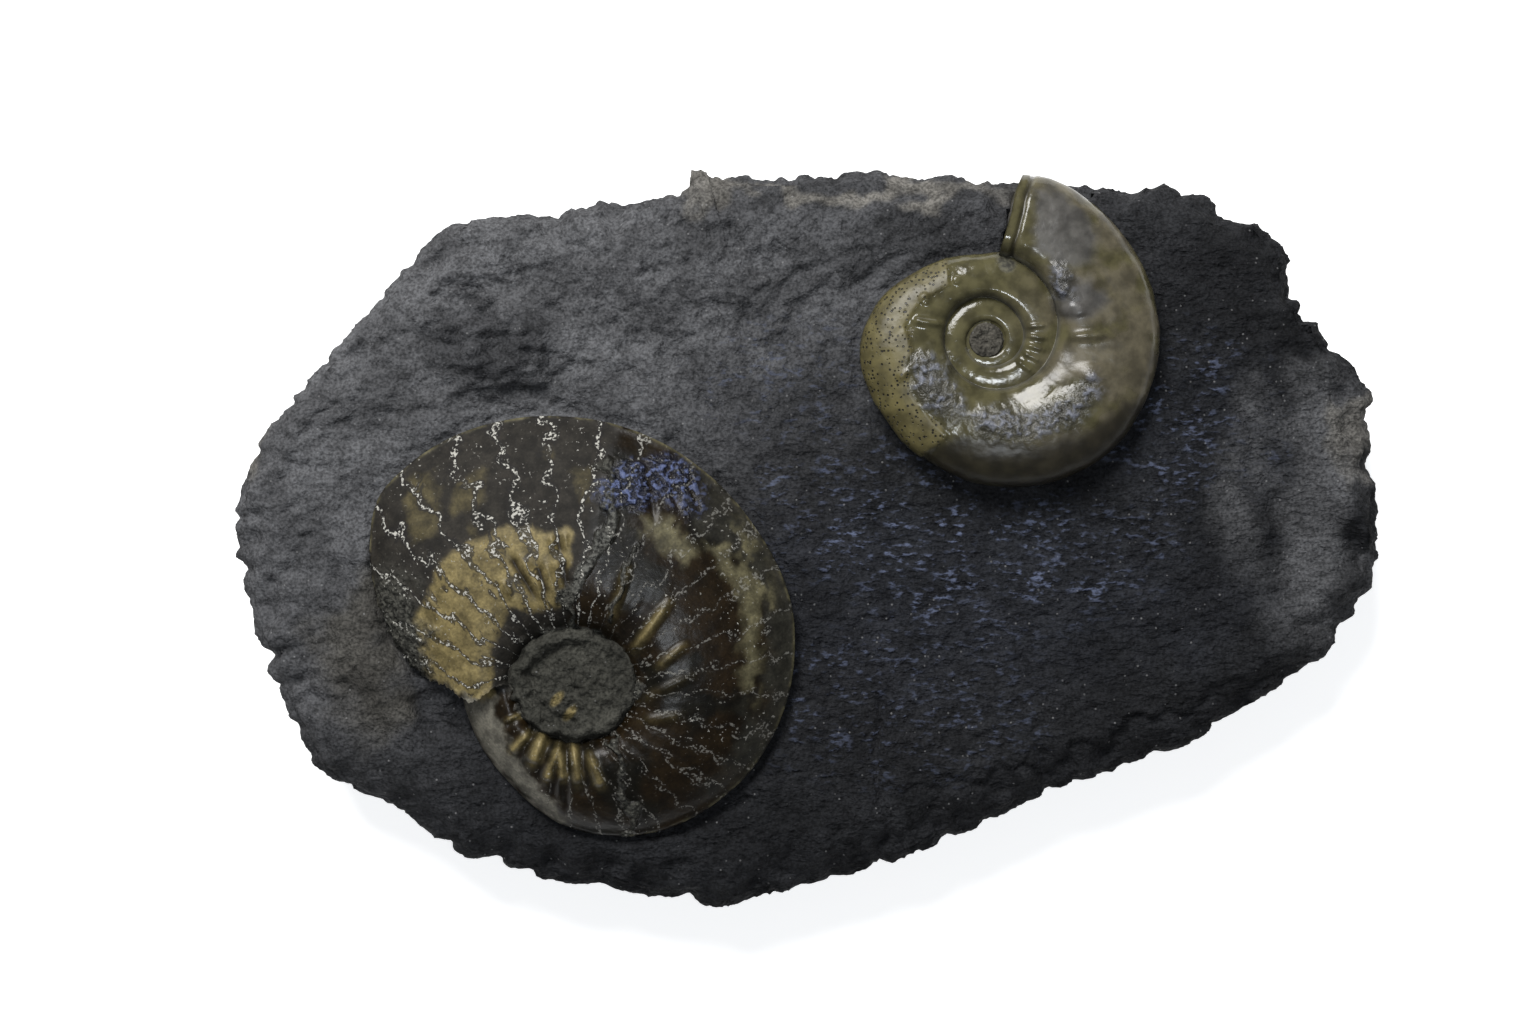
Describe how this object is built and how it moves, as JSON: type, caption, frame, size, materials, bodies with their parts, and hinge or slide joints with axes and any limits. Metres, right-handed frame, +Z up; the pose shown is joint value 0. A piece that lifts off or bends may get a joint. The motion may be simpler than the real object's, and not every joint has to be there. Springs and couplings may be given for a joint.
{
  "type": "oxynoticeras ammonite in a shale slab",
  "caption": "Loose slab of dark layered shale lying flat, holding a large keeled ammonite with suture lines and a smaller glossy round-backed ammonite",
  "frame": {"origin": "middle of the bounding box, on the flat underside of the slab", "axes": "+X along the slab's long side towards the small ammonite, +Y across it towards the small ammonite's mouth, +Z up out of the face that shows the ammonites"},
  "size_m": [0.1344, 0.0871, 0.0211],
  "materials": {
    "shale": "rough, layered, with small glints",
    "dark_shell": "glossy, dark brown and gold",
    "olive_shell": "very glossy, olive and bronze",
    "umbilicus_shale": "matt and granular"
  },
  "bodies": {
    "root": {"matrix_slab": "shale", "large_ammonite": "dark_shell", "small_ammonite": "olive_shell", "large_umbilicus_fill": "umbilicus_shale", "small_umbilicus_fill": "umbilicus_shale"}
  },
  "joints": []
}
